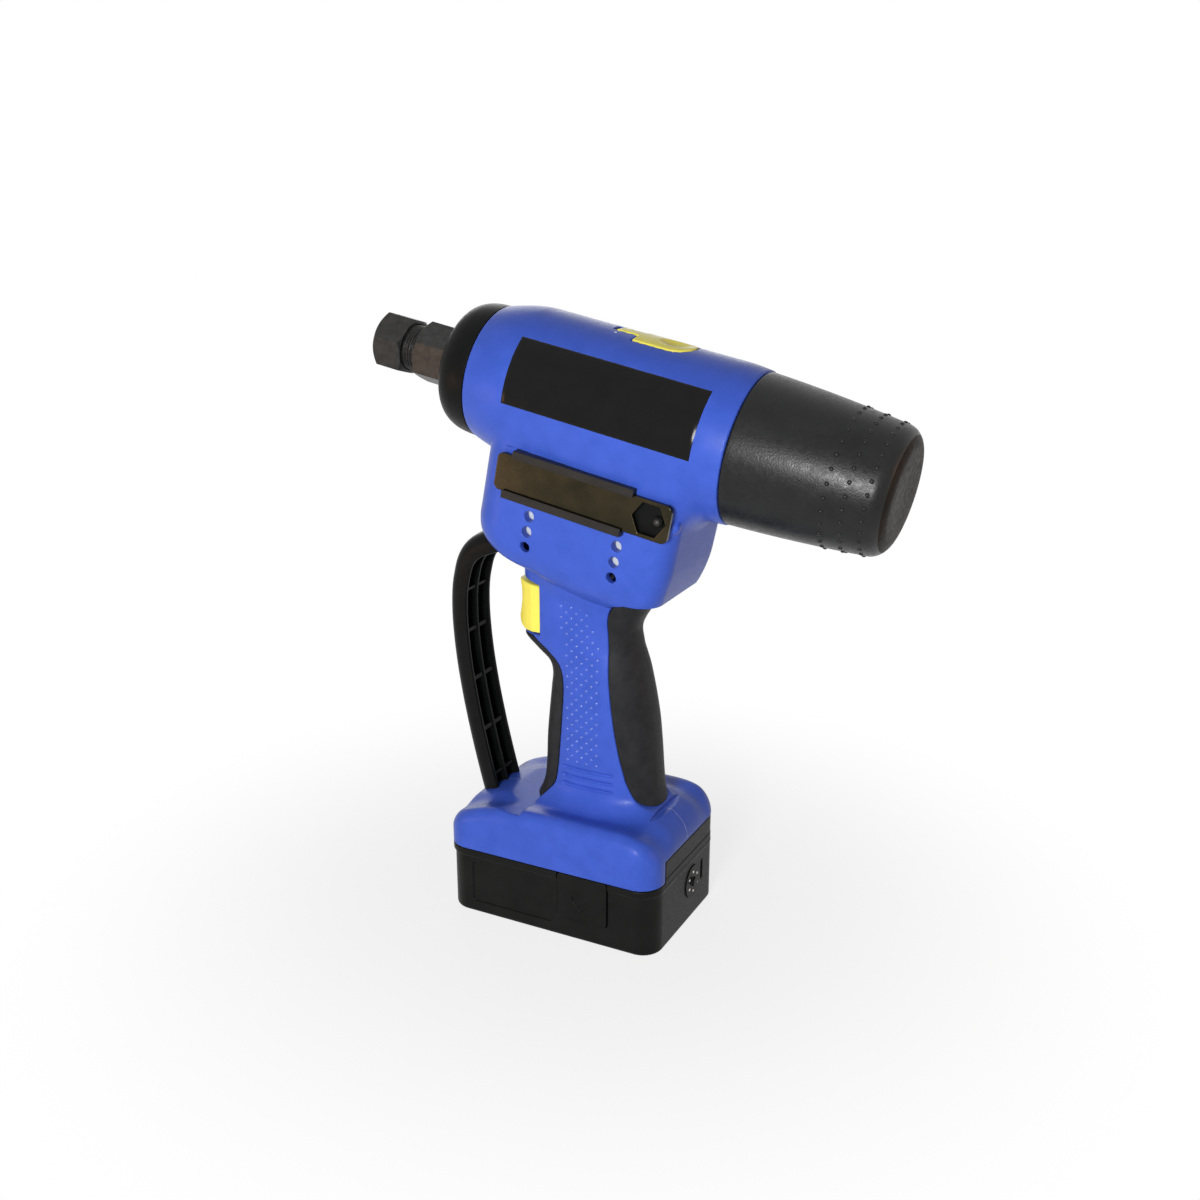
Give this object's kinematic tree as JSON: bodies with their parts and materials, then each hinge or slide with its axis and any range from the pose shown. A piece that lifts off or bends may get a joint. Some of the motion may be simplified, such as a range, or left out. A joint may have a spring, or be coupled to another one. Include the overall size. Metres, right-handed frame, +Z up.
{
  "type": "battery rivet tool",
  "caption": "Pistol-grip cordless blind rivet tool with a ball screw drive, hand guard, mandrel collector, clipped-on spanner and slide-off battery.",
  "frame": {"origin": "centre of the battery's flat underside", "axes": "+Z up through the handle; the nose points toward -X and the collector toward +X; the side with the spanner faces -Y"},
  "size_m": [0.2645, 0.078, 0.2981],
  "materials": {
    "blue_housing": "satin moulded blue",
    "black_grip": "soft matte overmould",
    "black_plastic": "grained black",
    "yellow_plastic": "satin yellow",
    "label_film": "glossy black film, bare",
    "dark_steel": "black oxide",
    "tool_steel": "ground",
    "spanner_steel": "dark burnished plate",
    "aluminium": "machined",
    "seal_rubber": "smooth",
    "board_green": "circuit board",
    "cell_sleeve": "shrink sleeve",
    "contact_brass": "plated",
    "light_lens": "clear white"
  },
  "bodies": {
    "housing": {"housing_left": "blue_housing", "housing_right": "blue_housing", "front_ring": "black_plastic", "rear_grip_left": "black_grip", "rear_grip_right": "black_grip", "front_grip_left": "black_grip", "front_grip_right": "black_grip", "hand_guard": "black_plastic", "label_plate": "label_film", "spanner_holder": "black_plastic", "spanner_catch": "black_plastic", "housing_screws": "tool_steel", "hook_pin": "tool_steel", "drive_frame": "aluminium", "nut_bearings": "tool_steel", "steel_head": "dark_steel", "collector_spigot": "black_plastic", "collector_seal": "seal_rubber", "motor_can": "tool_steel", "motor_end_cap": "black_plastic", "gearbox_case": "aluminium", "trigger_switch": "black_plastic", "trigger_spring": "tool_steel", "control_board": "board_green", "terminal_block": "black_plastic"},
    "spanner_body": {"spanner": "spanner_steel"},
    "hook_body": {"hanging_hook": "yellow_plastic"},
    "nut_body": {"ball_nut": "tool_steel", "nut_gear": "tool_steel"},
    "puller_body": {"spindle": "tool_steel", "mandrel_tube": "tool_steel", "chuck_adapter": "tool_steel", "chuck_housing": "tool_steel", "chuck_jaws": "tool_steel", "jaw_pusher": "tool_steel", "pusher_spring": "tool_steel"},
    "drive_gear_body": {"drive_gear": "tool_steel"},
    "nosepiece_body": {"nosepiece": "dark_steel"},
    "nose_nut_body": {"nose_nut": "dark_steel"},
    "collector_body": {"collector_cap": "black_plastic"},
    "trigger_body": {"trigger": "yellow_plastic"},
    "battery_body": {"battery_case": "black_plastic", "battery_lid": "black_plastic", "battery_cells": "cell_sleeve", "cell_links": "contact_brass", "battery_contacts": "contact_brass", "latch_spring_left": "tool_steel", "latch_spring_right": "tool_steel", "gauge_panel": "black_plastic", "gauge_lights": "light_lens", "battery_screws": "tool_steel"},
    "latch_left_body": {"latch_left": "black_plastic"},
    "latch_right_body": {"latch_right": "black_plastic"},
    "gauge_button_body": {"gauge_button": "black_plastic"}
  },
  "joints": [
    {"name": "trigger_pull", "type": "slide", "parent": "housing", "child": "trigger_body", "axis": [1, 0, 0], "range_m": [0, 0.006], "stiffness_N_per_m": 900, "springref_m": -0.002, "deforming": ["trigger_spring"]},
    {"name": "hook_fold", "type": "hinge", "parent": "housing", "child": "hook_body", "pos_m": [0.0209, 0, 0.28877], "axis": [0, -1, 0], "range_deg": [0, 95]},
    {"name": "spanner_slide", "type": "slide", "parent": "housing", "child": "spanner_body", "axis": [-0.9826, 0, 0.1857], "range_m": [0, 0.092], "deforming": ["spanner_catch"]},
    {"name": "nut_turn", "type": "hinge", "parent": "housing", "child": "nut_body", "pos_m": [0.0091, 0, 0.2565], "axis": [-0.9826, 0, 0.1857], "range_deg": [0, 1440]},
    {"name": "puller_stroke", "type": "slide", "parent": "housing", "child": "puller_body", "axis": [0.9826, 0, -0.1857], "range_m": [0, 0.02]},
    {"name": "drive_gear_turn", "type": "hinge", "parent": "housing", "child": "drive_gear_body", "pos_m": [0.00019, 0, 0.20933], "axis": [-0.9826, 0, 0.1857], "range_deg": [-2016, 0]},
    {"name": "nose_nut_turn", "type": "hinge", "parent": "nosepiece_body", "child": "nose_nut_body", "pos_m": [-0.09407, 0, 0.27599], "axis": [-0.9826, 0, 0.1857], "range_deg": [0, 1800]},
    {"name": "nosepiece_travel", "type": "slide", "parent": "housing", "child": "nosepiece_body", "axis": [-0.9826, 0, 0.1857], "range_m": [0, 0.0075]},
    {"name": "collector_pull", "type": "slide", "parent": "housing", "child": "collector_body", "axis": [0.9826, 0, -0.1857], "range_m": [0, 0.03]},
    {"name": "battery_slide", "type": "slide", "parent": "housing", "child": "battery_body", "axis": [1, 0, 0], "range_m": [0, 0.11]},
    {"name": "latch_left_press", "type": "slide", "parent": "battery_body", "child": "latch_left_body", "axis": [0, 1, 0], "range_m": [0, 0.0022], "stiffness_N_per_m": 1500, "springref_m": -0.0008, "deforming": ["latch_spring_left"]},
    {"name": "latch_right_press", "type": "slide", "parent": "battery_body", "child": "latch_right_body", "axis": [0, -1, 0], "range_m": [0, 0.0022], "stiffness_N_per_m": 1500, "springref_m": -0.0008, "deforming": ["latch_spring_right"]},
    {"name": "gauge_press", "type": "slide", "parent": "battery_body", "child": "gauge_button_body", "axis": [-1, 0, 0], "range_m": [0, 0.0006], "stiffness_N_per_m": 900, "springref_m": -0.0005}
  ],
  "couplings": [
    {"joint": "puller_stroke", "follows": "nut_turn", "m_per_rad": 0.00079577},
    {"joint": "drive_gear_turn", "follows": "nut_turn", "ratio": -1.4},
    {"joint": "nosepiece_travel", "follows": "nose_nut_turn", "m_per_rad": 0.00023873}
  ]
}
